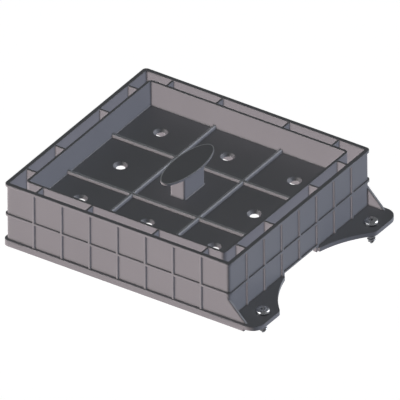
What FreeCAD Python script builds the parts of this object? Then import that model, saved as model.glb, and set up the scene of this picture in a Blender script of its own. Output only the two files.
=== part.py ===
import FreeCAD, Part
import math
import os
import Sketcher

# Floor drain cover: a moulded double-walled tray on a square foot, with two screwed ears.
# The origin is the middle of the foot, on the plane that the foot stands on.
# X runs towards the ears, Y along the short side of the box, and Z is up. Sizes are in mm.

SIZES = {
    # outer box, over the rim
    "box_length": 150.0,
    "box_width": 140.0,
    "box_height": 40.0,
    "wall_thick": 1.4,
    "corner_radius": 1.6,
    "inner_corner": 0.6,
    # ribs and bands that stand out of the outer wall
    "band_proud": 1.0,
    "rim_height": 1.5,
    "mid_band_top": 20.65,
    "mid_band_height": 1.3,
    "rib_width": 1.3,
    "cells_per_side": 8,
    # foot
    "foot_height": 4.0,
    "foot_proud": 1.6,
    # inner wall and tray floor
    "channel_x": 6.35,
    "channel_y": 6.1,
    "tray_wall": 1.5,
    "tray_corner": 1.3,
    "tray_draft": 2.0,
    "floor_top": 24.7,
    "floor_thick": 2.0,
    "floor_fillet": 0.6,
    # webs that tie the two walls together
    "web_thick": 1.2,
    "web_drop": 0.3,
    "web_near_x": 22.0,
    "web_far_x": 54.9,
    "web_near_y": 22.0,
    "web_far_y": 50.1,
    # beads across the tray floor
    "bead_radius": 1.2,
    "bead_rise": 2.0,
    "bead_x": 22.0,
    "bead_y": 22.0,
    # countersunk drain holes
    "drain_hole": 5.2,
    "drain_sink": 8.3,
    "sink_angle": 90.0,
    "drain_x": 44.4,
    "drain_y": 39.7,
    # lifting handle
    "post_length": 9.7,
    "post_width": 20.0,
    "post_corner": 1.2,
    "post_wall": 2.0,
    "core_depth": 16.0,
    "post_fillet": 0.8,
    "handle_top": 41.5,
    "handle_thick": 1.2,
    "handle_half_x": 8.4,
    "handle_half_y": 23.5,
    # screw ears
    "ear_thick": 2.6,
    "ear_reach": 19.2,
    "ear_corner": 8.0,
    "ear_toe": 2.1,
    "ear_shoulder": 47.5,
    "ear_shoulder_radius": 3.5,
    "ear_hollow_radius": 65.0,
    "rail_reach": 10.5,
    "gusset_reach": 11.0,
    "gusset_rise": 12.9,
    # opening in the wall between the ears
    "notch_height": 5.0,
    "notch_half_width": 15.8,
    "notch_frame": 1.0,
    # screws and their holes
    "screw_reach": 11.8,
    "screw_y": 53.6,
    "screw_shank": 4.7,
    "screw_neck": 3.6,
    "screw_clearance": 0.3,
    "screw_length": 13.5,
    "screw_point": 2.4,
    "head_diameter": 8.2,
    "head_height": 2.3,
    "head_edge": 0.5,
}

# Lines that several features share, as expressions of the sizes above
WALL_X = "(sizes.box_length / 2 - sizes.band_proud)"
WALL_Y = "(sizes.box_width / 2 - sizes.band_proud)"
INSIDE_X = "(sizes.box_length / 2 - sizes.band_proud - sizes.wall_thick)"
INSIDE_Y = "(sizes.box_width / 2 - sizes.band_proud - sizes.wall_thick)"
TUB_X = f"({INSIDE_X} - sizes.channel_x)"
TUB_Y = f"({INSIDE_Y} - sizes.channel_y)"
TUB_CORNER = "(sizes.tray_corner + sizes.tray_wall)"
TRAY_X = f"({TUB_X} - sizes.tray_wall)"
TRAY_Y = f"({TUB_Y} - sizes.tray_wall)"
FOOT_Y = f"({WALL_Y} + sizes.foot_proud)"
PITCH_X = f"(2 * {WALL_X} / sizes.cells_per_side)"
PITCH_Y = f"(2 * {WALL_Y} / sizes.cells_per_side)"
END_RIB_Y = f"({PITCH_Y} - sizes.rib_width / 2)"
EAR_X = f"({WALL_X} + sizes.ear_reach)"
EAR_UNDER = "(sizes.foot_height - sizes.ear_thick)"
SCREW_X = f"({WALL_X} + sizes.screw_reach)"

# How near two places have to be to count as one, when an edge is looked up by its place
NEAR = 0.01

doc = FreeCAD.newDocument("floor_drain_cover")
sheet = doc.addObject("Spreadsheet::Sheet", "sizes")
for row, (alias, value) in enumerate(SIZES.items(), start=1):
    sheet.set(f"A{row}", alias)
    sheet.set(f"B{row}", str(value))
    sheet.setAlias(f"B{row}", alias)
doc.recompute()


# Small tools for sketches and features
def number(expression):
    """The value of an expression of the sizes, in millimetres."""
    return float(sheet.evalExpression(expression))


def new_body(label):
    body = doc.addObject("PartDesign::Body", label)
    body.Label = label
    return body


def origin_feature(body, role):
    return next(f for f in body.Origin.OriginFeatures if f.Role == role)


def new_sketch(body, name, plane="XY_Plane", offset="0"):
    """A sketch on one of the body's own origin planes, moved along the plane's normal."""
    sketch = body.newObject("Sketcher::SketchObject", name)
    sketch.AttachmentSupport = [(origin_feature(body, plane), "")]
    sketch.MapMode = "FlatFace"
    sketch.setExpression("AttachmentOffset.Base.z", offset)
    return sketch


def place(sketch, geometry, point, across, up):
    """Fix one point of a sketch at two expressions, measured from the sketch's origin."""
    for kind, expression in (("DistanceX", across), ("DistanceY", up)):
        value = number(expression)
        if value < 0:
            ends = (geometry, point, -1, 1)
            expression = f"-({expression})"
        else:
            ends = (-1, 1, geometry, point)
        index = sketch.addConstraint(Sketcher.Constraint(kind, *ends, abs(value)))
        sketch.setExpression(f"Constraints[{index}]", expression)


def set_radius(sketch, geometry, expression):
    index = sketch.addConstraint(Sketcher.Constraint("Radius", geometry, number(expression)))
    sketch.setExpression(f"Constraints[{index}]", expression)


def draw_outline(sketch, corners):
    """A closed outline of straight lines through corners, each a pair of expressions."""
    spots = [FreeCAD.Vector(number(x), number(y), 0) for x, y in corners]
    lines = []
    for start, end in zip(spots, spots[1:] + spots[:1]):
        lines.append(sketch.addGeometry(Part.LineSegment(start, end)))
    for line, following in zip(lines, lines[1:] + lines[:1]):
        sketch.addConstraint(Sketcher.Constraint("Coincident", line, 2, following, 1))
    for line, (across, up) in zip(lines, corners):
        place(sketch, line, 1, across, up)


def draw_box(sketch, left, right, low, high):
    draw_outline(sketch, [(left, low), (right, low), (right, high), (left, high)])


def draw_rounded_box(sketch, half_x, half_y, radius):
    """A box about the sketch's origin, with four equal round corners."""
    x, y, r = number(half_x), number(half_y), number(radius)
    lines = []
    arcs = []
    # each turn is a quarter circle at one corner, taken anticlockwise from the lower right
    turns = ((1, -1, -90), (1, 1, 0), (-1, 1, 90), (-1, -1, 180))
    up = FreeCAD.Vector(0, 0, 1)
    ends = []
    for side_x, side_y, start in turns:
        centre = FreeCAD.Vector(side_x * (x - r), side_y * (y - r), 0)
        circle = Part.Circle(centre, up, r)
        arc = Part.ArcOfCircle(circle, math.radians(start), math.radians(start + 90))
        arcs.append(sketch.addGeometry(arc))
        ends.append((arc.StartPoint, arc.EndPoint))
    for (_, leave), (reach, _) in zip(ends, ends[1:] + ends[:1]):
        lines.append(sketch.addGeometry(Part.LineSegment(leave, reach)))
    for index, line in enumerate(lines):
        following = arcs[(index + 1) % len(arcs)]
        sketch.addConstraint(Sketcher.Constraint("Tangent", arcs[index], 2, line, 1))
        sketch.addConstraint(Sketcher.Constraint("Tangent", line, 2, following, 1))
    for arc in arcs[1:]:
        sketch.addConstraint(Sketcher.Constraint("Equal", arcs[0], arc))
    set_radius(sketch, arcs[0], radius)
    right, back, left, front = lines
    for line, kind, run, half, outwards in (
        (right, "Vertical", "DistanceX", half_x, True),
        (left, "Vertical", "DistanceX", half_x, False),
        (back, "Horizontal", "DistanceY", half_y, True),
        (front, "Horizontal", "DistanceY", half_y, False),
    ):
        sketch.addConstraint(Sketcher.Constraint(kind, line))
        spots = (-1, 1, line, 1) if outwards else (line, 1, -1, 1)
        index = sketch.addConstraint(Sketcher.Constraint(run, *spots, number(half)))
        sketch.setExpression(f"Constraints[{index}]", half)


def draw_circle(sketch, across, up, diameter):
    centre = FreeCAD.Vector(number(across), number(up), 0)
    radius = f"{diameter} / 2"
    circle = Part.Circle(centre, FreeCAD.Vector(0, 0, 1), number(radius))
    geometry = sketch.addGeometry(circle)
    place(sketch, geometry, 3, across, up)
    set_radius(sketch, geometry, radius)


def extrude(body, sketch, name, length, kind="Pad", backwards=False, both_ways=False):
    """A pad or a pocket of a sketch. A pocket cuts against the sketch's normal."""
    feature = body.newObject(f"PartDesign::{kind}", name)
    feature.Profile = sketch
    feature.Reversed = backwards
    feature.SideType = "Symmetric" if both_ways else "One side"
    feature.setExpression("Length", length)
    doc.recompute()
    return feature


def cut(body, sketch, name, length, backwards=False, both_ways=False):
    """A pocket that has to take material away."""
    before = body.Shape.Volume
    feature = extrude(body, sketch, name, length, "Pocket", backwards, both_ways)
    if not feature.Shape.Volume < before:
        raise RuntimeError(f"{name} cuts nothing")
    return feature


def edges_where(shape, wanted):
    return [f"Edge{i}" for i, edge in enumerate(shape.Edges, start=1) if wanted(edge)]


def round_edges(body, base, names, name, radius):
    fillet = body.newObject("PartDesign::Fillet", name)
    fillet.Base = (base, names)
    fillet.setExpression("Radius", radius)
    body.Tip = fillet
    doc.recompute()
    return fillet


# Cover: the outer box starts as a solid block
cover = new_body("cover_body")
block_sketch = new_sketch(cover, "block_outline")
draw_rounded_box(block_sketch, WALL_X, WALL_Y, "sizes.corner_radius")
extrude(cover, block_sketch, "block", "sizes.box_height")

# Channel between the two walls, as deep as the tray
WALL_DEPTH = "sizes.box_height - sizes.floor_top"
channel_sketch = new_sketch(cover, "channel_outline", offset="sizes.box_height")
draw_rounded_box(channel_sketch, INSIDE_X, INSIDE_Y, "sizes.inner_corner")
draw_rounded_box(channel_sketch, TUB_X, TUB_Y, TUB_CORNER)
cut(cover, channel_sketch, "channel", WALL_DEPTH)


# Webs across the channel: long bars over the whole box, which the tray then parts
def add_webs(name, near, far, reach, along_x):
    sketch = new_sketch(cover, f"{name}_outline", offset="sizes.floor_top")
    for side in (-1, 1):
        for middle in (near, far):
            low = f"{side} * {middle} - sizes.web_thick / 2"
            high = f"{side} * {middle} + sizes.web_thick / 2"
            if along_x:
                draw_box(sketch, f"-{reach}", reach, low, high)
            else:
                draw_box(sketch, low, high, f"-{reach}", reach)
    extrude(cover, sketch, name, f"{WALL_DEPTH} - sizes.web_drop")


add_webs("webs_front_back", "sizes.web_near_x", "sizes.web_far_x", INSIDE_Y, False)
add_webs("webs_sides", "sizes.web_near_y", "sizes.web_far_y", INSIDE_X, True)

# Tray: the recess inside the inner wall. It narrows downwards by the draft that lets it
# leave the mould, and has a small round along the foot of that wall
tray_sketch = new_sketch(cover, "tray_outline", offset="sizes.box_height")
draw_rounded_box(tray_sketch, TRAY_X, TRAY_Y, "sizes.tray_corner")
tray = cut(cover, tray_sketch, "tray", WALL_DEPTH)
upright = cover.Shape.Volume
tray.setExpression("TaperAngle", "-sizes.tray_draft")
doc.recompute()
if not tray.Shape.Volume > upright:
    raise RuntimeError("the draft does not narrow the tray")


def is_tray_floor_edge(edge):
    box = edge.BoundBox
    level = number("sizes.floor_top")
    flat = abs(box.ZMin - level) < NEAR and abs(box.ZMax - level) < NEAR
    inside_x = max(abs(box.XMin), abs(box.XMax)) < number(TRAY_X) + NEAR
    inside_y = max(abs(box.YMin), abs(box.YMax)) < number(TRAY_Y) + NEAR
    return flat and inside_x and inside_y


round_edges(
    cover,
    tray,
    edges_where(tray.Shape, is_tray_floor_edge),
    "floor_round",
    "sizes.floor_fillet",
)

# Hollow under the floor, open at the foot
hollow_sketch = new_sketch(cover, "hollow_outline")
draw_rounded_box(hollow_sketch, INSIDE_X, INSIDE_Y, "sizes.inner_corner")
cut(cover, hollow_sketch, "hollow", "sizes.floor_top - sizes.floor_thick", backwards=True)

# Beads: low round ridges that part the tray floor into nine fields
def draw_bead(sketch, middle):
    """The section of a bead: upright sides that start inside the floor, under a half circle."""
    left, right = f"{middle} - sizes.bead_radius", f"{middle} + sizes.bead_radius"
    shoulder = "sizes.floor_top + sizes.bead_rise - sizes.bead_radius"
    root = "sizes.floor_top - sizes.floor_thick / 2"
    corners = [(left, shoulder), (left, root), (right, root), (right, shoulder)]
    spots = [FreeCAD.Vector(number(x), number(z), 0) for x, z in corners]
    lines = [
        sketch.addGeometry(Part.LineSegment(start, end))
        for start, end in zip(spots, spots[1:])
    ]
    centre = (spots[0] + spots[3]) * 0.5
    circle = Part.Circle(centre, FreeCAD.Vector(0, 0, 1), number("sizes.bead_radius"))
    crown = sketch.addGeometry(Part.ArcOfCircle(circle, 0, math.pi))
    for line, following in zip(lines, lines[1:]):
        sketch.addConstraint(Sketcher.Constraint("Coincident", line, 2, following, 1))
    sketch.addConstraint(Sketcher.Constraint("Coincident", lines[2], 2, crown, 1))
    sketch.addConstraint(Sketcher.Constraint("Coincident", crown, 2, lines[0], 1))
    for end in (1, 2):
        sketch.addConstraint(Sketcher.Constraint("Horizontal", crown, end, crown, 3))
    place(sketch, crown, 3, middle, shoulder)
    set_radius(sketch, crown, "sizes.bead_radius")
    for line, (across, up) in zip(lines[1:], corners[1:]):
        place(sketch, line, 1, across, up)


def add_beads(name, plane, middle, half_run):
    """A pair of beads that end inside the inner wall."""
    sketch = new_sketch(cover, f"{name}_section", plane)
    for side in (-1, 1):
        draw_bead(sketch, f"{side} * {middle}")
    extrude(cover, sketch, name, f"2 * {half_run} + sizes.tray_wall", both_ways=True)


add_beads("beads_lengthways", "YZ_Plane", "sizes.bead_y", TRAY_X)
add_beads("beads_crossways", "XZ_Plane", "sizes.bead_x", TRAY_Y)

# Lifting handle: a cored post in the middle field, under a flat oval plate
POST_BASE = "sizes.floor_top - sizes.floor_thick"
PLATE_UNDER = "(sizes.handle_top - sizes.handle_thick)"
post_sketch = new_sketch(cover, "post_outline", offset=POST_BASE)
draw_rounded_box(
    post_sketch, "sizes.post_length / 2", "sizes.post_width / 2", "sizes.post_corner"
)
post = extrude(cover, post_sketch, "post", f"{PLATE_UNDER} - ({POST_BASE})")


def is_post_foot(edge):
    """The edges where the post stands on the floor of the tray."""
    box = edge.BoundBox
    level = number("sizes.floor_top")
    flat = abs(box.ZMin - level) < NEAR and abs(box.ZMax - level) < NEAR
    inside_x = max(abs(box.XMin), abs(box.XMax)) < number("sizes.post_length") / 2 + NEAR
    inside_y = max(abs(box.YMin), abs(box.YMax)) < number("sizes.post_width") / 2 + NEAR
    return flat and inside_x and inside_y


round_edges(
    cover, post, edges_where(post.Shape, is_post_foot), "post_foot", "sizes.post_fillet"
)

plate_sketch = new_sketch(cover, "handle_outline", offset=PLATE_UNDER)


def draw_oval(sketch, half_x, half_y):
    """An ellipse about the sketch's origin, with its long axis along Y."""
    long_end = FreeCAD.Vector(0, number(half_y), 0)
    short_end = FreeCAD.Vector(-number(half_x), 0, 0)
    oval = sketch.addGeometry(Part.Ellipse(long_end, short_end, FreeCAD.Vector(0, 0, 0)))
    sketch.exposeInternalGeometry(oval)
    long_axis, short_axis = oval + 1, oval + 2
    sketch.addConstraint(Sketcher.Constraint("Coincident", oval, 3, -1, 1))
    sketch.addConstraint(Sketcher.Constraint("Vertical", long_axis))
    for axis, half in ((long_axis, half_y), (short_axis, half_x)):
        full = f"2 * {half}"
        index = sketch.addConstraint(Sketcher.Constraint("Distance", axis, number(full)))
        sketch.setExpression(f"Constraints[{index}]", full)


draw_oval(plate_sketch, "sizes.handle_half_x", "sizes.handle_half_y")
extrude(cover, plate_sketch, "handle_plate", "sizes.handle_thick")

core_sketch = new_sketch(cover, "core_outline", offset=POST_BASE)
draw_box(
    core_sketch,
    "sizes.post_wall - sizes.post_length / 2",
    "sizes.post_length / 2 - sizes.post_wall",
    "sizes.post_wall - sizes.post_width / 2",
    "sizes.post_width / 2 - sizes.post_wall",
)
cut(cover, core_sketch, "post_core", "sizes.core_depth", backwards=True)

# Drain holes: a countersunk hole in each field of the floor but the middle one
drain_sketch = new_sketch(cover, "drain_hole_centres", offset="sizes.floor_top")
for step_x in (-1, 0, 1):
    for step_y in (-1, 0, 1):
        if step_x or step_y:
            draw_circle(
                drain_sketch,
                f"{step_x} * sizes.drain_x",
                f"{step_y} * sizes.drain_y",
                "sizes.drain_hole",
            )
drain_holes = cover.newObject("PartDesign::Hole", "drain_holes")
drain_holes.Profile = drain_sketch
doc.recompute()
undrilled = cover.Shape.Volume
drain_holes.ThreadType = "None"
drain_holes.DepthType = "ThroughAll"
drain_holes.HoleCutType = "Countersink"
drain_holes.HoleCutCustomValues = True
drain_holes.setExpression("Diameter", "sizes.drain_hole")
drain_holes.setExpression("HoleCutDiameter", "sizes.drain_sink")
drain_holes.setExpression("HoleCutCountersinkAngle", "sizes.sink_angle")
cover.Tip = drain_holes
doc.recompute()
if not drain_holes.Shape.Volume < undrilled:
    raise RuntimeError("the drain holes cut nothing")

# Rim, middle band and foot: rings that stand out of the outer wall and start half-way into it
MID_WALL_X = f"({WALL_X} - sizes.wall_thick / 2)"
MID_WALL_Y = f"({WALL_Y} - sizes.wall_thick / 2)"
MID_WALL_CORNER = "(sizes.corner_radius - sizes.wall_thick / 2)"


def add_band(name, level, height):
    sketch = new_sketch(cover, f"{name}_outline", offset=level)
    draw_rounded_box(
        sketch,
        "sizes.box_length / 2",
        "sizes.box_width / 2",
        "sizes.corner_radius + sizes.band_proud",
    )
    draw_rounded_box(sketch, MID_WALL_X, MID_WALL_Y, MID_WALL_CORNER)
    extrude(cover, sketch, name, height)


add_band("rim", "sizes.box_height - sizes.rim_height", "sizes.rim_height")
add_band(
    "mid_band", "sizes.mid_band_top - sizes.mid_band_height", "sizes.mid_band_height"
)

# The foot goes round three sides and runs on past the fourth as two rails
foot_sketch = new_sketch(cover, "foot_outline")
RAIL_X = f"{WALL_X} + sizes.rail_reach"
FOOT_X = f"-{WALL_X} - sizes.foot_proud"
draw_outline(
    foot_sketch,
    [
        (FOOT_X, f"-{FOOT_Y}"),
        (RAIL_X, f"-{FOOT_Y}"),
        (RAIL_X, f"-{INSIDE_Y}"),
        (f"-{INSIDE_X}", f"-{INSIDE_Y}"),
        (f"-{INSIDE_X}", INSIDE_Y),
        (RAIL_X, INSIDE_Y),
        (RAIL_X, FOOT_Y),
        (FOOT_X, FOOT_Y),
    ],
)
foot = extrude(cover, foot_sketch, "foot", "sizes.foot_height")


def upright_at(across, up):
    """A test for the upright edges at one place, on either side of the middle plane."""
    x, y = number(across), number(up)

    def wanted(edge):
        box = edge.BoundBox
        flat = box.XLength < NEAR and box.YLength < NEAR
        return flat and abs(box.XMin - x) < NEAR and abs(abs(box.YMin) - y) < NEAR

    return wanted


round_edges(
    cover,
    foot,
    edges_where(foot.Shape, upright_at(FOOT_X, FOOT_Y)),
    "foot_corners",
    "sizes.corner_radius + sizes.foot_proud",
)

# Ears: a flat plate each side, with a hollow inner edge, a round corner and a blunt toe
ear_sketch = new_sketch(cover, "ear_outline", offset=EAR_UNDER)


def draw_ear(sketch, side):
    """One ear, on the side of the part that the sign of side gives."""
    toe_y = f"{side} * {PITCH_Y}"
    shoulder_y = f"{side} * sizes.ear_shoulder"
    outer_y = f"{side} * {FOOT_Y}"
    toe_x = f"{WALL_X} + sizes.ear_toe"
    outline = [
        (toe_x, toe_y),
        (INSIDE_X, toe_y),
        (INSIDE_X, outer_y),
        (EAR_X, outer_y),
        (EAR_X, shoulder_y),
    ]
    spots = [FreeCAD.Vector(number(x), number(y), 0) for x, y in outline]
    pieces = [
        sketch.addGeometry(Part.LineSegment(start, end))
        for start, end in zip(spots, spots[1:])
    ]
    # the hollow edge swings from the shoulder back to the toe, bowed in towards the wall
    toe, shoulder = spots[0], spots[-1]
    chord = toe - shoulder
    radius = number("sizes.ear_hollow_radius")
    bow = radius - math.sqrt(radius**2 - (chord.Length / 2) ** 2)
    inward = FreeCAD.Vector(side * chord.y, -side * chord.x, 0).normalize()
    hollow = Part.Arc(shoulder, (toe + shoulder) * 0.5 + inward * bow, toe)
    pieces.append(sketch.addGeometry(hollow))
    for line, following in zip(pieces[:3], pieces[1:4]):
        sketch.addConstraint(Sketcher.Constraint("Coincident", line, 2, following, 1))
    # a sketch counts an arc's ends anticlockwise, so the ears differ in which end comes first
    shoulder_end, toe_end = (2, 1) if side < 0 else (1, 2)
    sketch.addConstraint(
        Sketcher.Constraint("Coincident", pieces[3], 2, pieces[4], shoulder_end)
    )
    sketch.addConstraint(Sketcher.Constraint("Coincident", pieces[4], toe_end, pieces[0], 1))
    for line, (across, up) in zip(pieces[:4], outline):
        place(sketch, line, 1, across, up)
    place(sketch, pieces[3], 2, *outline[-1])
    set_radius(sketch, pieces[4], "sizes.ear_hollow_radius")


for side in (-1, 1):
    draw_ear(ear_sketch, side)
ears = extrude(cover, ear_sketch, "ears", "sizes.ear_thick")
corners = edges_where(ears.Shape, upright_at(EAR_X, FOOT_Y))
ear_corners = round_edges(cover, ears, corners, "ear_corners", "sizes.ear_corner")
shoulders = edges_where(ear_corners.Shape, upright_at(EAR_X, "sizes.ear_shoulder"))
round_edges(cover, ear_corners, shoulders, "ear_shoulders", "sizes.ear_shoulder_radius")

# Gussets: a triangle in the plane of each long wall, down onto the ear
for name, level in (("gusset_front", INSIDE_Y), ("gusset_back", f"-{WALL_Y}")):
    sketch = new_sketch(cover, f"{name}_outline", "XZ_Plane", level)
    heel = f"{WALL_X} - sizes.corner_radius"
    draw_outline(
        sketch,
        [
            (heel, "sizes.foot_height"),
            (f"{WALL_X} + sizes.gusset_reach", "sizes.foot_height"),
            (heel, "sizes.foot_height + sizes.gusset_rise"),
        ],
    )
    extrude(cover, sketch, name, "sizes.wall_thick")

# Holes for the screws, down through the ears
screw_holes = new_sketch(cover, "screw_hole_centres", offset="sizes.foot_height")
for side in (-1, 1):
    draw_circle(
        screw_holes,
        SCREW_X,
        f"{side} * sizes.screw_y",
        "(sizes.screw_shank + 2 * sizes.screw_clearance)",
    )
cut(cover, screw_holes, "screw_holes", "sizes.foot_height")

# Upright ribs: rows of narrow bars on opposite walls, between the foot and the rim
RIB_HEIGHT = "sizes.box_height - sizes.foot_height - sizes.rim_height / 2"


def add_ribs(name, axis, pitch, inner, outer):
    """A pair of bars on opposite walls, repeated along one axis."""
    first = f"-{pitch} * (sizes.cells_per_side / 2 - 1)"
    low, high = f"{first} - sizes.rib_width / 2", f"{first} + sizes.rib_width / 2"
    sketch = new_sketch(cover, f"{name}_outline", offset="sizes.foot_height")
    for near, far in ((inner, outer), (f"-{outer}", f"-{inner}")):
        if axis == "X_Axis":
            draw_box(sketch, low, high, near, far)
        else:
            draw_box(sketch, near, far, low, high)
    bars = extrude(cover, sketch, name, RIB_HEIGHT)
    row = cover.newObject("PartDesign::LinearPattern", f"{name}_row")
    row.Originals = [bars]
    row.Direction = (origin_feature(cover, axis), [""])
    row.setExpression("Length", f"{pitch} * (sizes.cells_per_side - 2)")
    row.setExpression("Occurrences", "sizes.cells_per_side - 1")
    cover.Tip = row
    doc.recompute()


add_ribs("ribs_long_walls", "X_Axis", PITCH_X, MID_WALL_Y, "sizes.box_width / 2")
add_ribs("ribs_short_walls", "Y_Axis", PITCH_Y, MID_WALL_X, "sizes.box_length / 2")

# Notch: the wall ends level with the undersides of the ears, and between them it is open
# to a greater height, inside a proud frame that joins the nearest rib on each side
frame_sketch = new_sketch(cover, "notch_frame_outline", "YZ_Plane", INSIDE_X)
FRAME_TOP = "sizes.notch_height + sizes.notch_frame"
draw_box(frame_sketch, f"-{END_RIB_Y}", END_RIB_Y, EAR_UNDER, FRAME_TOP)
extrude(cover, frame_sketch, "notch_frame", "sizes.wall_thick + sizes.band_proud")
notch_sketch = new_sketch(cover, "notch_outline", "YZ_Plane", TUB_X)
draw_outline(
    notch_sketch,
    [
        (f"-{INSIDE_Y}", "0"),
        (INSIDE_Y, "0"),
        (INSIDE_Y, EAR_UNDER),
        ("sizes.notch_half_width", EAR_UNDER),
        ("sizes.notch_half_width", "sizes.notch_height"),
        ("-sizes.notch_half_width", "sizes.notch_height"),
        ("-sizes.notch_half_width", EAR_UNDER),
        (f"-{INSIDE_Y}", EAR_UNDER),
    ],
)
cut(cover, notch_sketch, "notch", f"sizes.box_length / 2 - {TUB_X}", backwards=True)


# Screws: pan head, neck inside the ear, shank and point, turned about the screw's own axis
screws = new_body("mounting_screws")
screw_sketch = new_sketch(screws, "screw_section", "XZ_Plane", "sizes.screw_y")
SEAT = "sizes.foot_height"
NECK_RADIUS = "(sizes.screw_neck / 2)"
SHANK_RADIUS = "(sizes.screw_shank / 2)"
HEAD_RADIUS = "(sizes.head_diameter / 2)"
CROWN_RADIUS = f"({HEAD_RADIUS} - sizes.head_edge)"
HEAD_TOP = f"{SEAT} + sizes.head_height"
NECK_END = EAR_UNDER
TIP = f"{SEAT} - sizes.screw_length"
draw_outline(
    screw_sketch,
    [
        (SCREW_X, TIP),
        (f"{SCREW_X} + {SHANK_RADIUS}", f"{TIP} + sizes.screw_point"),
        (f"{SCREW_X} + {SHANK_RADIUS}", f"{NECK_END} - sizes.screw_clearance"),
        (f"{SCREW_X} + {NECK_RADIUS}", NECK_END),
        (f"{SCREW_X} + {NECK_RADIUS}", SEAT),
        (f"{SCREW_X} + {HEAD_RADIUS}", SEAT),
        (f"{SCREW_X} + {HEAD_RADIUS}", f"{HEAD_TOP} - sizes.head_edge"),
        (f"{SCREW_X} + {CROWN_RADIUS}", HEAD_TOP),
        (SCREW_X, HEAD_TOP),
    ],
)
axis_foot = FreeCAD.Vector(number(SCREW_X), number(TIP), 0)
axis_head = FreeCAD.Vector(number(SCREW_X), number(HEAD_TOP), 0)
axis = screw_sketch.addGeometry(Part.LineSegment(axis_foot, axis_head), True)
place(screw_sketch, axis, 1, SCREW_X, TIP)
place(screw_sketch, axis, 2, SCREW_X, HEAD_TOP)
screw = screws.newObject("PartDesign::Revolution", "screw")
screw.Profile = screw_sketch
screw.ReferenceAxis = (screw_sketch, ["Axis0"])
doc.recompute()
second_screw = screws.newObject("PartDesign::Mirrored", "second_screw")
second_screw.Originals = [screw]
second_screw.MirrorPlane = (origin_feature(screws, "XZ_Plane"), [""])
screws.Tip = second_screw
doc.recompute()

# Every object has to be sound before its shape is written
for item in doc.Objects:
    if "Invalid" in item.State or "Error" in item.State:
        raise RuntimeError(f"{item.Name} failed: {item.State}")

os.makedirs("parts", exist_ok=True)
for body, solids in ((cover, 1), (screws, 2)):
    shape = body.Shape
    if shape.isNull() or not shape.isValid() or len(shape.Solids) != solids:
        raise RuntimeError(f"{body.Label} is not {solids} sound solids")
    shape.exportStep(f"parts/{body.Label}.step")
    print(body.Label, len(shape.Solids), "solids,", round(shape.Volume), "mm3")
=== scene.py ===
# %% [markdown]
# # A moulded floor drain cover
# The cover is a grey plastic box with two walls, a pierced tray, a lifting handle
# and two ears that are screwed down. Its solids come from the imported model, in
# metres, so this lesson is about what they lack: real screws, the finish of a
# moulded surface, and the light and camera of a product picture.

# %% Load the model
import math

import bmesh
import bpy
from mathutils import Matrix, Quaternion, Vector


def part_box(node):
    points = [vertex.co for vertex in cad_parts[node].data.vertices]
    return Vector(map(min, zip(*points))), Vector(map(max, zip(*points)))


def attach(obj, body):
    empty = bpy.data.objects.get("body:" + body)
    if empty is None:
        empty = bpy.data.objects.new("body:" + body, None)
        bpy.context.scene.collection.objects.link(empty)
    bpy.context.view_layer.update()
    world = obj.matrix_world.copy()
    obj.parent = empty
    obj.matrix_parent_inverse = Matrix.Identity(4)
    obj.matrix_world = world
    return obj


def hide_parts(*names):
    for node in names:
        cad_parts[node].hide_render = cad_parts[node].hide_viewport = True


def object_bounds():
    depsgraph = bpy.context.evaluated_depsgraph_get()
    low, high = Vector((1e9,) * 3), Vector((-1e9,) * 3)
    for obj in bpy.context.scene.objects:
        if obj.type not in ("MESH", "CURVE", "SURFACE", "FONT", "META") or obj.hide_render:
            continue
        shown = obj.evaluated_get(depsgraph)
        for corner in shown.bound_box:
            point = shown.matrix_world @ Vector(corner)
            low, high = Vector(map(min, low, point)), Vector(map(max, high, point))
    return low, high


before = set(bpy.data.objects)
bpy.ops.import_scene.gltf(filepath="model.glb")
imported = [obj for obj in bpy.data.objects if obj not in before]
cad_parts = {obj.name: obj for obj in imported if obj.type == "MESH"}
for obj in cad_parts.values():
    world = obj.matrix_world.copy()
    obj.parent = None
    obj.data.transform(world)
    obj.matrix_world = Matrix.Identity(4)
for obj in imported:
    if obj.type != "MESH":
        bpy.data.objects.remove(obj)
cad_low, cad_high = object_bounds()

MM = 0.001
print("the model measures", [round(x / MM, 1) for x in cad_high - cad_low], "mm")

# %% [markdown]
# ## Colours and nodes
# A colour is picked from a chart as a hex number, which is stored for the eye
# (sRGB). Shaders add up light, so they want linear numbers. One function turns
# the first into the second, and one adds a shader node with its settings and
# links, so that each material below reads as a list of what it is made of.


# %% Helpers for colours and nodes
def linear(hex_colour):
    """An sRGB hex colour as linear red, green, blue and alpha."""
    channels = []
    for start in (1, 3, 5):
        value = int(hex_colour[start : start + 2], 16) / 255
        if value <= 0.04045:
            channels.append(value / 12.92)
        else:
            channels.append(((value + 0.055) / 1.055) ** 2.4)
    return (*channels, 1.0)


def add_node(tree, kind, settings=None, **links):
    """A node with its settings, and its inputs as values or as other nodes' outputs.

    An input goes by its name, or by its number after an underscore."""
    node = tree.nodes.new(kind)
    for name, value in (settings or {}).items():
        setattr(node, name, value)
    for name, value in links.items():
        key = int(name[1:]) if name[1:].isdigit() else name.replace("_", " ")
        socket = node.inputs[key]
        if isinstance(value, bpy.types.NodeSocket):
            tree.links.new(value, socket)
        else:
            socket.default_value = value
    return node


def add_view_rays(tree):
    """1 for rays from the camera, off a mirror or through glass, and 0 for all others."""
    path = add_node(tree, "ShaderNodeLightPath").outputs
    seen = add_node(
        tree,
        "ShaderNodeMath",
        {"operation": "ADD"},
        _0=path["Is Camera Ray"],
        _1=path["Is Glossy Ray"],
    )
    seen_or_through = add_node(
        tree,
        "ShaderNodeMath",
        {"operation": "ADD", "use_clamp": True},
        _0=seen.outputs[0],
        _1=path["Is Transmission Ray"],
    )
    return seen_or_through.outputs[0]


def new_material(name):
    """An empty node material, and its tree."""
    material = bpy.data.materials.new(name)
    material.use_nodes = True
    material.node_tree.nodes.clear()
    return material, material.node_tree


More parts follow.
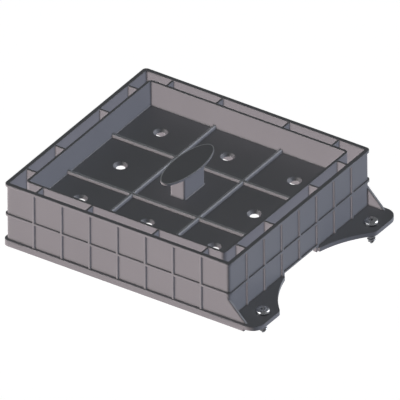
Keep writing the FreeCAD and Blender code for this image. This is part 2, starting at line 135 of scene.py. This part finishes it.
# %% [markdown]
# ## Moulded plastic
# The body is injection-moulded ABS, coloured grey right through. What tells the
# eye so is its finish: edges that the tool leaves slightly round, a fine even
# grain from the eroded steel of the tool, and faint clouds where the melt cooled at
# different speeds. A painted highlight, a paler tone, lies round the rim of the
# handle and along the crests of the beads, where light would catch them. The real
# grain is about 0.1 mm. It would vanish at this size, so it is drawn 0.6 mm wide
# and very shallow.

# %% Colour, clouds and grain
GRAIN_WIDTH = 0.6 * MM
GRAIN_HEIGHT = 0.012 * MM
GRAIN_STRENGTH = 0.5
CLOUD_WIDTH = 35 * MM
MATT, SATIN = 0.58, 0.46

abs_plastic, tree = new_material("moulded_grey_abs")
place = add_node(tree, "ShaderNodeTexCoord").outputs["Object"]
clouds = add_node(
    tree, "ShaderNodeTexNoise", Vector=place, Scale=1 / CLOUD_WIDTH, Detail=3.0
)
grain = add_node(
    tree, "ShaderNodeTexNoise", Vector=place, Scale=1 / GRAIN_WIDTH, Detail=2.0
)
# the two greys between which the clouds drift
tone = add_node(
    tree,
    "ShaderNodeMix",
    {"data_type": "RGBA"},
    _0=clouds.outputs["Fac"],
    _6=linear("#6C6D71"),
    _7=linear("#727377"),
)
print("grain", GRAIN_WIDTH / MM, "mm wide, clouds", CLOUD_WIDTH / MM, "mm wide")

# %% [markdown]
# The rim of the handle plate is an oval, so its formula says how close a point is
# to the edge: the sum of the squared shares of the two half widths is 1 on the
# oval. That sum grows by twice the steepness below for each unit of distance. So
# what is missing from 1, divided by the steepness, is about twice the distance.

# %% Painted highlight round the rim of the handle plate
OVAL_X = 8.4 * MM
OVAL_Y = 23.5 * MM
RIM_HIGHLIGHT_FULL = 0.48 * MM
RIM_HIGHLIGHT_END = 0.72 * MM
PLATE_EDGE = 0.5 * MM

squeeze = (1 / OVAL_X, 1 / OVAL_Y, 0)
squeezed = add_node(
    tree, "ShaderNodeVectorMath", {"operation": "MULTIPLY"}, _0=place, _1=squeeze
).outputs["Vector"]
fill = add_node(
    tree, "ShaderNodeVectorMath", {"operation": "DOT_PRODUCT"}, _0=squeezed, _1=squeezed
)
slope = add_node(
    tree, "ShaderNodeVectorMath", {"operation": "MULTIPLY"}, _0=squeezed, _1=squeeze
)
steepness = add_node(
    tree, "ShaderNodeVectorMath", {"operation": "LENGTH"}, _0=slope.outputs["Vector"]
)
missing = add_node(
    tree, "ShaderNodeMath", {"operation": "SUBTRACT"}, _0=1.0, _1=fill.outputs["Value"]
)
twice_distance = add_node(
    tree,
    "ShaderNodeMath",
    {"operation": "DIVIDE"},
    _0=missing.outputs[0],
    _1=steepness.outputs["Value"],
)
band = add_node(
    tree,
    "ShaderNodeMapRange",
    Value=twice_distance.outputs[0],
    From_Min=2 * RIM_HIGHLIGHT_END,
    From_Max=2 * RIM_HIGHLIGHT_FULL,
    To_Min=0.0,
    To_Max=1.0,
)
# only the top of the plate is as high as this
height = add_node(tree, "ShaderNodeSeparateXYZ", Vector=place).outputs["Z"]
on_plate = add_node(
    tree,
    "ShaderNodeMath",
    {"operation": "GREATER_THAN"},
    _0=height,
    _1=cad_high.z - PLATE_EDGE,
)
# painted highlight: a pale band round the top rim of the plate, where its edge would catch
# light
painted_rim_highlight = add_node(
    tree,
    "ShaderNodeMath",
    {"operation": "MULTIPLY"},
    _0=band.outputs["Result"],
    _1=on_plate.outputs[0],
)
print("rim rubbed", RIM_HIGHLIGHT_FULL / MM, "mm wide")

# %% Painted highlight on the crests of the beads
BEAD_TOP = 26.7 * MM
CREST_HIGHLIGHT_FULL = 0.5 * MM
CREST_HIGHLIGHT_END = 1.3 * MM
CREST_HIGHLIGHT_SHARE = 0.42
SLACK = 0.05 * MM
WALL_LIKE, FLOOR_LIKE = 0.35, 0.75

# painted highlight on the crests of the beads in the tray, growing towards their tops
# above the floor of the tray, and below all else that faces up
rise = add_node(
    tree,
    "ShaderNodeMapRange",
    Value=height,
    From_Min=BEAD_TOP - CREST_HIGHLIGHT_END,
    From_Max=BEAD_TOP - CREST_HIGHLIGHT_FULL,
    To_Min=0.0,
    To_Max=CREST_HIGHLIGHT_SHARE,
)
in_tray = add_node(
    tree,
    "ShaderNodeMath",
    {"operation": "LESS_THAN"},
    _0=height,
    _1=BEAD_TOP + SLACK,
)
crest = add_node(
    tree,
    "ShaderNodeMath",
    {"operation": "MULTIPLY"},
    _0=rise.outputs["Result"],
    _1=in_tray.outputs[0],
)
either = add_node(
    tree,
    "ShaderNodeMath",
    {"operation": "MAXIMUM"},
    _0=painted_rim_highlight.outputs[0],
    _1=crest.outputs[0],
)
# the painted highlight goes on what faces up and spares the walls
flat = add_node(tree, "ShaderNodeNewGeometry").outputs["Normal"]
flat_z = add_node(tree, "ShaderNodeSeparateXYZ", Vector=flat).outputs["Z"]
faces_up = add_node(
    tree,
    "ShaderNodeMapRange",
    Value=flat_z,
    From_Min=WALL_LIKE,
    From_Max=FLOOR_LIKE,
    To_Min=0.0,
    To_Max=1.0,
)
painted_highlight = add_node(
    tree,
    "ShaderNodeMath",
    {"operation": "MULTIPLY"},
    _0=either.outputs[0],
    _1=faces_up.outputs["Result"],
)
# painted highlight: the rim and the crests are coloured a paler grey, as if light caught
# them
with_painted_highlight = add_node(
    tree,
    "ShaderNodeMix",
    {"data_type": "RGBA"},
    _0=painted_highlight.outputs[0],
    _6=tone.outputs[2],
    _7=linear("#BABDC0"),
)
print("crests rubbed at", BEAD_TOP / MM, "mm above the foot")

# %% [markdown]
# The lamps below cast no shadow, so the shade of narrow corners is put back in the
# material. An ambient occlusion node measures how far a point is closed in.

# %% Shade in narrow corners
NOOK_WIDTH = 1.6 * MM
NOOK_SHADE = 0.6
CLOSED_IN, OPEN = 0.4, 0.95

nook = add_node(tree, "ShaderNodeAmbientOcclusion", {"samples": 8}, Distance=NOOK_WIDTH)
shade = add_node(
    tree,
    "ShaderNodeMapRange",
    Value=nook.outputs["AO"],
    From_Min=CLOSED_IN,
    From_Max=OPEN,
    To_Min=NOOK_SHADE,
    To_Max=1.0,
)
shaded = add_node(
    tree,
    "ShaderNodeVectorMath",
    {"operation": "SCALE"},
    _0=with_painted_highlight.outputs[2],
    Scale=shade.outputs["Result"],
)
print("corners darkened within", NOOK_WIDTH / MM, "mm")

# %% [markdown]
# A bevel in the shader rounds the look of every edge by 0.6 mm, without touching
# the solid. The upright corners of the box and the tray look rounder than that in
# the picture, so the radius grows to 1.8 mm on upright faces near them.

# %% Rounded edges and upright corners
EDGE_ROUND = 0.6 * MM
CORNER_ROUND = 1.8 * MM
BOX_CORNER_X = 75 * MM
BOX_CORNER_Y = 70 * MM
CORNER_NEAR, CORNER_FAR = 12 * MM, 14 * MM
UPRIGHT, LEANING = 0.2, 0.5

across = add_node(tree, "ShaderNodeVectorMath", {"operation": "ABSOLUTE"}, _0=place)
level_place = add_node(
    tree,
    "ShaderNodeVectorMath",
    {"operation": "MULTIPLY"},
    _0=across.outputs["Vector"],
    _1=(1, 1, 0),
)
to_corner = add_node(
    tree,
    "ShaderNodeVectorMath",
    {"operation": "DISTANCE"},
    _0=level_place.outputs["Vector"],
    _1=(BOX_CORNER_X, BOX_CORNER_Y, 0),
)
near_corner = add_node(
    tree,
    "ShaderNodeMapRange",
    Value=to_corner.outputs["Value"],
    From_Min=CORNER_FAR,
    From_Max=CORNER_NEAR,
    To_Min=0.0,
    To_Max=1.0,
)
lean = add_node(tree, "ShaderNodeMath", {"operation": "ABSOLUTE"}, _0=flat_z)
upright = add_node(
    tree,
    "ShaderNodeMapRange",
    Value=lean.outputs[0],
    From_Min=LEANING,
    From_Max=UPRIGHT,
    To_Min=0.0,
    To_Max=1.0,
)
at_corner = add_node(
    tree,
    "ShaderNodeMath",
    {"operation": "MULTIPLY"},
    _0=near_corner.outputs["Result"],
    _1=upright.outputs["Result"],
)
radius = add_node(
    tree,
    "ShaderNodeMapRange",
    Value=at_corner.outputs[0],
    To_Min=EDGE_ROUND,
    To_Max=CORNER_ROUND,
)
rounded = add_node(
    tree, "ShaderNodeBevel", {"samples": 6}, Radius=radius.outputs["Result"]
)
print("edges rounded by", EDGE_ROUND / MM, "mm, corners by", CORNER_ROUND / MM, "mm")

# %% The plastic itself
grained = add_node(
    tree,
    "ShaderNodeBump",
    Strength=GRAIN_STRENGTH,
    Distance=GRAIN_HEIGHT,
    Height=grain.outputs["Fac"],
    Normal=rounded.outputs["Normal"],
)
sheen = add_node(
    tree,
    "ShaderNodeMapRange",
    Value=clouds.outputs["Fac"],
    To_Min=SATIN,
    To_Max=MATT,
)
body = add_node(
    tree,
    "ShaderNodeBsdfPrincipled",
    Base_Color=shaded.outputs["Vector"],
    Roughness=sheen.outputs["Result"],
    IOR=1.5,
    Specular_IOR_Level=0.2,
    Normal=grained.outputs["Normal"],
)
add_node(tree, "ShaderNodeOutputMaterial", Surface=body.outputs["BSDF"])

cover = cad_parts["cover_body"]
cover.data.materials.clear()
cover.data.materials.append(abs_plastic)
print("cover:", len(cover.data.polygons), "triangles, finish", abs_plastic.name)

# %% [markdown]
# ## Plated steel
# The screws are steel with a bright zinc plating, tumbled in a drum. That leaves
# a mirror with fine haze, which shows the white floor and the dark room side by
# side. It is a metal, so its colour is in its reflection and the IOR stays as it is.
# Below the head the thread is coloured darker: painted shade under the ear.

# %% Material of the screws
HAZE_WIDTH = 0.8 * MM
POLISHED, HAZY = 0.14, 0.30
UNSHADED_ABOVE, FULL_SHADE_BELOW = 4.0 * MM, 3.0 * MM
THREAD_SHADE_SHARE = 0.8

zinc, tree = new_material("zinc_plated_steel")
place = add_node(tree, "ShaderNodeTexCoord").outputs["Object"]
haze = add_node(
    tree, "ShaderNodeTexNoise", Vector=place, Scale=1 / HAZE_WIDTH, Detail=4.0
)
blush = add_node(
    tree,
    "ShaderNodeMix",
    {"data_type": "RGBA"},
    _0=haze.outputs["Fac"],
    _6=linear("#8A8C90"),
    _7=linear("#A8AAAE"),
)
height = add_node(tree, "ShaderNodeSeparateXYZ", Vector=place).outputs["Z"]
# painted shade: the thread below the ear is coloured darker, standing for the ear's shade
# on it
painted_thread_shade = add_node(
    tree,
    "ShaderNodeMapRange",
    Value=height,
    From_Min=UNSHADED_ABOVE,
    From_Max=FULL_SHADE_BELOW,
    To_Min=0.0,
    To_Max=THREAD_SHADE_SHARE,
)
# painted shade: the dark grey that the thread goes to below the ear
zinc_with_shade = add_node(
    tree,
    "ShaderNodeMix",
    {"data_type": "RGBA"},
    _0=painted_thread_shade.outputs["Result"],
    _6=blush.outputs[2],
    _7=linear("#54565A"),
)
polish = add_node(
    tree,
    "ShaderNodeMapRange",
    Value=haze.outputs["Fac"],
    To_Min=POLISHED,
    To_Max=HAZY,
)
metal = add_node(
    tree,
    "ShaderNodeBsdfPrincipled",
    Base_Color=zinc_with_shade.outputs[2],
    Metallic=1.0,
    Roughness=polish.outputs["Result"],
)
add_node(tree, "ShaderNodeOutputMaterial", Surface=metal.outputs["BSDF"])
print("plating", zinc.name, "with haze", HAZE_WIDTH / MM, "mm wide")

# %% [markdown]
# ## Screws
# Each ear is held by a pan head self-tapping screw, 4.7 mm over its thread. A
# lathe is the natural way to make the head: half of its outline is drawn once
# and spun about the axis. The thread is the same idea with a rise at each step,
# so one tooth of the section winds up into the whole spiral, and each turn
# closes onto the one below. The cross recess is cut out of the head last, as the
# punch does on the real one.

# %% Sizes of a screw
screw_low, screw_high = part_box("mounting_screws")
HEAD_RADIUS = 4.1 * MM
THREAD_RADIUS = 2.35 * MM
ROOT_RADIUS = 1.75 * MM
PITCH = 1.6 * MM
POINT_LENGTH = 2.6 * MM
SEAT = 4.0 * MM
TIP = screw_low.z
HEAD_TOP = screw_high.z
SCREW_X = screw_high.x - HEAD_RADIUS
SCREW_Y = screw_high.y - HEAD_RADIUS
print("screws at x", round(SCREW_X / MM, 2), "and y +-", round(SCREW_Y / MM, 2), "mm")


# %% Tools for closed shells
def to_object(bm, name):
    """A bmesh as an object in the scene, with its faces turned outwards."""
    bmesh.ops.recalc_face_normals(bm, faces=bm.faces[:])
    mesh = bpy.data.meshes.new(name)
    bm.to_mesh(mesh)
    bm.free()
    made = bpy.data.objects.new(name, mesh)
    bpy.context.scene.collection.objects.link(made)
    return made


def draw_chain(bm, points):
    """Edges from point to point, in the plane of X and Z."""
    corners = [bm.verts.new((r, 0, z)) for r, z in points]
    return corners + [bm.edges.new(pair) for pair in zip(corners, corners[1:])]


def combine(target, tool, operation):
    """Unite the target with the tool, or cut the tool out of it, and drop the tool."""
    step = target.modifiers.new("combine", "BOOLEAN")
    step.operation = operation
    step.solver = "EXACT"
    step.object = tool
    depsgraph = bpy.context.evaluated_depsgraph_get()
    result = bpy.data.meshes.new_from_object(target.evaluated_get(depsgraph))
    target.modifiers.clear()
    target.data = result
    bpy.data.objects.remove(tool)


# %% Head, turned on a lathe
LATHE_STEPS = 64
MERGE = 1e-7

bm = bmesh.new()
# half of the section: the neck, the flat under the head, its side and its crown
outline = [
    (0, SEAT - 0.8 * MM),
    (ROOT_RADIUS, SEAT - 0.8 * MM),
    (ROOT_RADIUS, SEAT),
    (HEAD_RADIUS - 0.15 * MM, SEAT),
    (HEAD_RADIUS, SEAT + 0.15 * MM),
    (HEAD_RADIUS, HEAD_TOP - 1.25 * MM),
    (HEAD_RADIUS - 0.1 * MM, HEAD_TOP - 0.85 * MM),
    (HEAD_RADIUS - 0.35 * MM, HEAD_TOP - 0.5 * MM),
    (HEAD_RADIUS - 0.8 * MM, HEAD_TOP - 0.22 * MM),
    (HEAD_RADIUS - 1.6 * MM, HEAD_TOP - 0.06 * MM),
    (0, HEAD_TOP),
]
bmesh.ops.spin(
    bm,
    geom=draw_chain(bm, outline),
    cent=(0, 0, 0),
    axis=(0, 0, 1),
    angle=math.tau,
    steps=LATHE_STEPS,
    use_merge=True,
)
bmesh.ops.remove_doubles(bm, verts=bm.verts[:], dist=MERGE)
head = to_object(bm, "screw_head")
print("head:", len(head.data.polygons), "faces")

# %% Thread, wound upwards and drawn down to a point
TURN_STEPS = 32
TURNS = math.ceil((SEAT - TIP) / PITCH) + 1
NECK_OVERLAP = 0.3 * MM

bm = bmesh.new()
# the section of one tooth, with its flanks and flat in shares of the pitch
tooth = [
    (ROOT_RADIUS, TIP - PITCH),
    (ROOT_RADIUS, TIP - 0.62 * PITCH),
    (THREAD_RADIUS, TIP - 0.36 * PITCH),
    (THREAD_RADIUS, TIP - 0.26 * PITCH),
    (ROOT_RADIUS, TIP),
]
bmesh.ops.spin(
    bm,
    geom=draw_chain(bm, tooth),
    cent=(0, 0, 0),
    axis=(0, 0, 1),
    dvec=(0, 0, PITCH / TURN_STEPS),
    angle=math.tau * TURNS,
    steps=TURN_STEPS * TURNS,
)
bmesh.ops.remove_doubles(bm, verts=bm.verts[:], dist=MERGE)
shank_top = SEAT - NECK_OVERLAP
bmesh.ops.bisect_plane(
    bm,
    geom=bm.verts[:] + bm.edges[:] + bm.faces[:],
    plane_co=(0, 0, shank_top),
    plane_no=(0, 0, 1),
    clear_outer=True,
)
for vert in bm.verts:
    height = max(vert.co.z - TIP, 0)
    narrow = min(height / POINT_LENGTH, 1) ** 0.7
    vert.co = (vert.co.x * narrow, vert.co.y * narrow, TIP + height)
bmesh.ops.remove_doubles(bm, verts=bm.verts[:], dist=MERGE)
bmesh.ops.dissolve_degenerate(bm, edges=bm.edges[:], dist=MERGE)
open_edges = [edge for edge in bm.edges if edge.is_boundary]
bmesh.ops.holes_fill(bm, edges=open_edges, sides=0)
thread = to_object(bm, "screw_thread")
print("thread:", TURNS, "turns,", len(thread.data.polygons), "faces")

# %% Cross recess, cut by a punch of two tapered blades
RECESS_LENGTH = 4.5 * MM
RECESS_WIDTH = 1.15 * MM
RECESS_DEPTH = 1.9 * MM
BLADE_TAPER = (0.15, 0.5)

combine(head, thread, "UNION")
for turn in (0, math.pi / 2):
    bm = bmesh.new()
    blade = bmesh.ops.create_cube(bm, size=1)["verts"]
    bmesh.ops.scale(bm, verts=blade, vec=(RECESS_LENGTH, RECESS_WIDTH, 2 * RECESS_DEPTH))
    foot = [vert for vert in blade if vert.co.z < 0]
    bmesh.ops.scale(bm, verts=foot, vec=(*BLADE_TAPER, 1))
    bmesh.ops.rotate(bm, verts=blade, matrix=Matrix.Rotation(turn, 3, "Z"))
    bmesh.ops.translate(bm, verts=blade, vec=(0, 0, HEAD_TOP))
    combine(head, to_object(bm, "punch_blade"), "DIFFERENCE")
print("screw:", len(head.data.polygons), "faces")

# %% Both screws, each turned to where it happened to tighten
SHARP_ANGLE = math.radians(38)

bm = bmesh.new()
for side, turn in ((-1, math.radians(20)), (1, math.radians(62))):
    before = set(bm.verts)
    bm.from_mesh(head.data)
    new = [vert for vert in bm.verts if vert not in before]
    bmesh.ops.rotate(bm, verts=new, matrix=Matrix.Rotation(turn, 3, "Z"))
    bmesh.ops.translate(bm, verts=new, vec=(SCREW_X, side * SCREW_Y, 0))
bpy.data.objects.remove(head)
screws = to_object(bm, "pan_head_screws")
screws.data.materials.append(zinc)
screws.data.shade_smooth()
screws.data.set_sharp_from_angle(angle=SHARP_ANGLE)
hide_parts("mounting_screws")
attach(screws, "root")
print("screws:", len(screws.data.polygons), "faces")

# %% [markdown]
# ## Floor and light
# A product picture has a pale floor that runs out to white. Lighting the floor
# until it clips would wash out the part as well, so the floor gives some light
# of its own to the camera and to reflections only, and keeps a faint shadow.
# The points of the screws stand below the foot, so the floor is set at their tips.
# Soft boxes would leave the narrow channel and the deep tray in shade. The picture
# has every face lit by the way it looks and by nothing else, as in a catalogue
# drawing. So far lamps without shadows light it: a warm one low in front, a cooler
# and weaker one low on the right, a weak one behind and a faint one above. The
# walls come out light and all that faces up comes out dark, which is what shows
# the shape of the tray. Two more lamps stand for lit panels. Only the shine on
# the steel and the plastic sees them.

# %% Floor
FLOOR_SIZE = 12.0
FLOOR_GAP = 0.3 * MM
FLOOR_GLOW = 0.945

bm = bmesh.new()
bmesh.ops.create_grid(bm, x_segments=1, y_segments=1, size=FLOOR_SIZE / 2)
bmesh.ops.translate(bm, verts=bm.verts[:], vec=(0, 0, TIP - FLOOR_GAP))
floor = to_object(bm, "studio_floor")
paper, tree = new_material("white_paper")
glow = add_node(
    tree,
    "ShaderNodeMath",
    {"operation": "MULTIPLY"},
    _0=add_view_rays(tree),
    _1=FLOOR_GLOW,
)
sheet = add_node(
    tree,
    "ShaderNodeBsdfPrincipled",
    Base_Color=linear("#8C8C8C"),
    Roughness=0.9,
    Specular_IOR_Level=0.0,
    Emission_Color=(1, 1, 1, 1),
    Emission_Strength=glow.outputs[0],
)
add_node(tree, "ShaderNodeOutputMaterial", Surface=sheet.outputs["BSDF"])
floor.data.materials.append(paper)
print("floor at", round((TIP - FLOOR_GAP) / MM, 2), "mm")


# %% Lamps without shadows
def add_plain_sun(name, azimuth, elevation, level, colour, width=0):
    """A far lamp that casts no shadow. Without a width it gives plain light and no
    glint, and its level is the share of its own colour that it gives to a matt wall
    that faces it. With a width in degrees it gives the glint of a panel, and no more."""
    lamp = bpy.data.lights.new(name, "SUN")
    lamp.energy = level * math.pi
    lamp.color = colour
    lamp.use_shadow = False
    lamp.angle = math.radians(width)
    made = bpy.data.objects.new(name, lamp)
    made.visible_glossy = width > 0
    made.visible_diffuse = width == 0
    bpy.context.scene.collection.objects.link(made)
    a, e = math.radians(azimuth), math.radians(elevation)
    towards = Vector((math.sin(a) * math.cos(e), -math.cos(a) * math.cos(e), math.sin(e)))
    made.location = towards
    made.rotation_mode = "QUATERNION"
    made.rotation_quaternion = towards.to_track_quat("Z", "Y")
    print(name, "level", level)


# angles in degrees: round from the front, up from level, and the width of a panel
add_plain_sun("front_light", -50, -28.4, 2.90, (1.0, 0.868, 0.845))
add_plain_sun("side_light", 112, -7.5, 0.885, (0.815, 0.86, 1.0))
add_plain_sun("back_light", 180, -10, 0.50, (0.95, 0.97, 1.0))
add_plain_sun("top_light", 0, 90, 0.125, (0.92, 0.98, 1.0))
add_plain_sun("front_panel", -34, 33, 1.8, (1.0, 0.98, 0.96), 40)
add_plain_sun("side_panel", 146, 33, 1.1, (0.96, 0.98, 1.0), 40)

# %% [markdown]
# The room gives a little even light. Steel sees a lighter room than plastic is lit
# by, so its head does not go black. Below the edge of the floor the room is white
# to the camera and to reflections, so a low view has a white background too.

# %% Room, dim and even
ROOM_LEVEL = 0.10
MIRRORED_LEVEL = 0.28

world = bpy.data.worlds.new("studio_room")
bpy.context.scene.world = world
world.use_nodes = True
tree = world.node_tree
tree.nodes.clear()
path = add_node(tree, "ShaderNodeLightPath").outputs
strength = add_node(
    tree,
    "ShaderNodeMapRange",
    Value=path["Is Glossy Ray"],
    To_Min=ROOM_LEVEL,
    To_Max=MIRRORED_LEVEL,
)
direction = add_node(tree, "ShaderNodeTexCoord").outputs["Generated"]
downwards = add_node(
    tree,
    "ShaderNodeMath",
    {"operation": "LESS_THAN"},
    _0=add_node(tree, "ShaderNodeSeparateXYZ", Vector=direction).outputs["Z"],
    _1=0.0,
)
white_below = add_node(
    tree,
    "ShaderNodeMath",
    {"operation": "MULTIPLY"},
    _0=add_view_rays(tree),
    _1=downwards.outputs[0],
)
level = add_node(
    tree,
    "ShaderNodeMath",
    {"operation": "MAXIMUM"},
    _0=strength.outputs["Result"],
    _1=white_below.outputs[0],
)
room = add_node(
    tree, "ShaderNodeBackground", Color=(1, 1, 1, 1), Strength=level.outputs[0]
)
add_node(tree, "ShaderNodeOutputWorld", Surface=room.outputs["Background"])
print("room level", ROOM_LEVEL, "and", MIRRORED_LEVEL, "in reflections")

# %% [markdown]
# ## Camera
# The picture has no vanishing points: edges that are parallel on the part stay
# parallel in it. So the camera is orthographic. It stands 34 degrees round from
# the front and looks down by 33 degrees, and it is tipped by half a degree. Its
# width of view sets the scale, and it is moved sideways so that the part sits
# where it does in the picture.

# %% Camera
AZIMUTH = 34.14
ELEVATION = 33.20
TIP_OVER = -0.53
PIXELS = 400
PIXELS_PER_MM = 1.8136
AIM = Vector((0, 0, 40)) * MM
AIM_RIGHT = 12.745
AIM_UP = -33.79
STAND_OFF = 1.0

a, e = math.radians(AZIMUTH), math.radians(ELEVATION)
back = Vector((math.sin(a) * math.cos(e), -math.cos(a) * math.cos(e), math.sin(e)))
level_view = back.to_track_quat("Z", "Y")
turned = level_view @ Quaternion((0, 0, 1), math.radians(TIP_OVER))
right, up = turned @ Vector((1, 0, 0)), turned @ Vector((0, 1, 0))
camera_data = bpy.data.cameras.new("camera")
camera_data.type = "ORTHO"
camera_data.ortho_scale = PIXELS / PIXELS_PER_MM * MM
camera = bpy.data.objects.new("camera", camera_data)
bpy.context.scene.collection.objects.link(camera)
camera.rotation_mode = "QUATERNION"
camera.rotation_quaternion = turned
aim = AIM + (right * AIM_RIGHT + up * AIM_UP) / PIXELS_PER_MM * MM
camera.location = aim + back * STAND_OFF
bpy.context.scene.camera = camera
bpy.context.scene.view_settings.view_transform = "Standard"
print("camera width", round(camera_data.ortho_scale / MM, 1), "mm")
